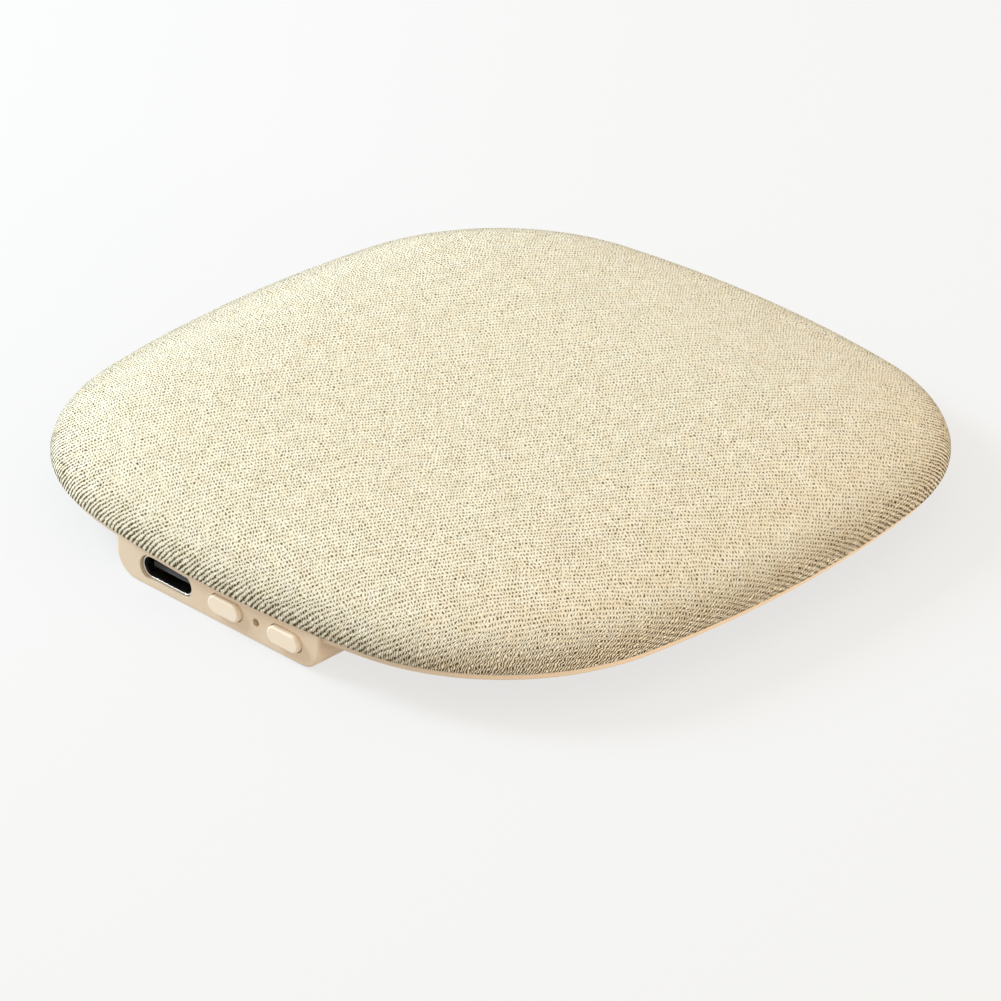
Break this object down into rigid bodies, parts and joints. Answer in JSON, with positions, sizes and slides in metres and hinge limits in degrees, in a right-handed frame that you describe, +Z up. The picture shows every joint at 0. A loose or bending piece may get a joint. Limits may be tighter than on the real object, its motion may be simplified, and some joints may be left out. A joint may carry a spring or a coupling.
{
  "type": "pillow speaker",
  "caption": "Flat square speaker pad with bowed sides and a soft knitted top, over a slim box with a charging mouth, push buttons and a light hole in its front wall.",
  "frame": {"origin": "middle of the pad in plan, on the surface that the flat floor of the box stands on", "axes": "+Z up; +Y from the front wall with the controls towards the back; +X along that wall, from the charging mouth towards the buttons"},
  "size_m": [0.1, 0.1, 0.0117],
  "materials": {
    "knit_cloth": "cream knitted polyester",
    "soft_foam": "open-cell foam",
    "case_plastic": "fine matt moulded ABS",
    "button_plastic": "smooth satin ABS",
    "inner_plastic": "black moulded plastic",
    "steel": "bright nickel plate",
    "board": "solder mask",
    "chip_plastic": "moulded epoxy",
    "ceramic": "matt",
    "light_lens": "clear epoxy",
    "cell_foil": "satin laminated foil",
    "magnet": "nickel plated",
    "copper": "enamelled wire",
    "cone_paper": "pressed paper",
    "black_rubber": "soft",
    "wire_insulation": "soft"
  },
  "bodies": {
    "housing": {"fabric_cover": "knit_cloth", "foam_pad": "soft_foam", "top_shell": "case_plastic", "bottom_shell": "case_plastic", "case_screws": "steel", "board_screws": "steel", "circuit_board": "board", "sound_chip": "chip_plastic", "amplifier_chip": "chip_plastic", "ceramic_aerial": "ceramic", "clock_crystal": "steel", "power_inductor": "ceramic", "status_light": "light_lens", "socket_shell": "steel", "socket_tongue": "inner_plastic", "left_switch": "inner_plastic", "right_switch": "inner_plastic", "battery_cell": "cell_foil", "battery_tape": "soft_foam", "battery_strip": "board", "driver_frame": "inner_plastic", "driver_gasket": "soft_foam", "driver_yoke": "steel", "driver_magnet": "magnet", "driver_pole_plate": "steel", "voice_coil": "copper", "driver_cone": "cone_paper", "driver_surround": "black_rubber", "battery_leads": "wire_insulation", "speaker_leads": "wire_insulation"},
    "left_key": {"left_button": "button_plastic", "left_plunger": "inner_plastic"},
    "right_key": {"right_button": "button_plastic", "right_plunger": "inner_plastic"}
  },
  "joints": [
    {"name": "left_press", "type": "slide", "parent": "housing", "child": "left_key", "axis": [0, 1, 0], "range_m": [0, 0.00035], "stiffness_N_per_m": 4500},
    {"name": "right_press", "type": "slide", "parent": "housing", "child": "right_key", "axis": [0, 1, 0], "range_m": [0, 0.00035], "stiffness_N_per_m": 4500}
  ]
}
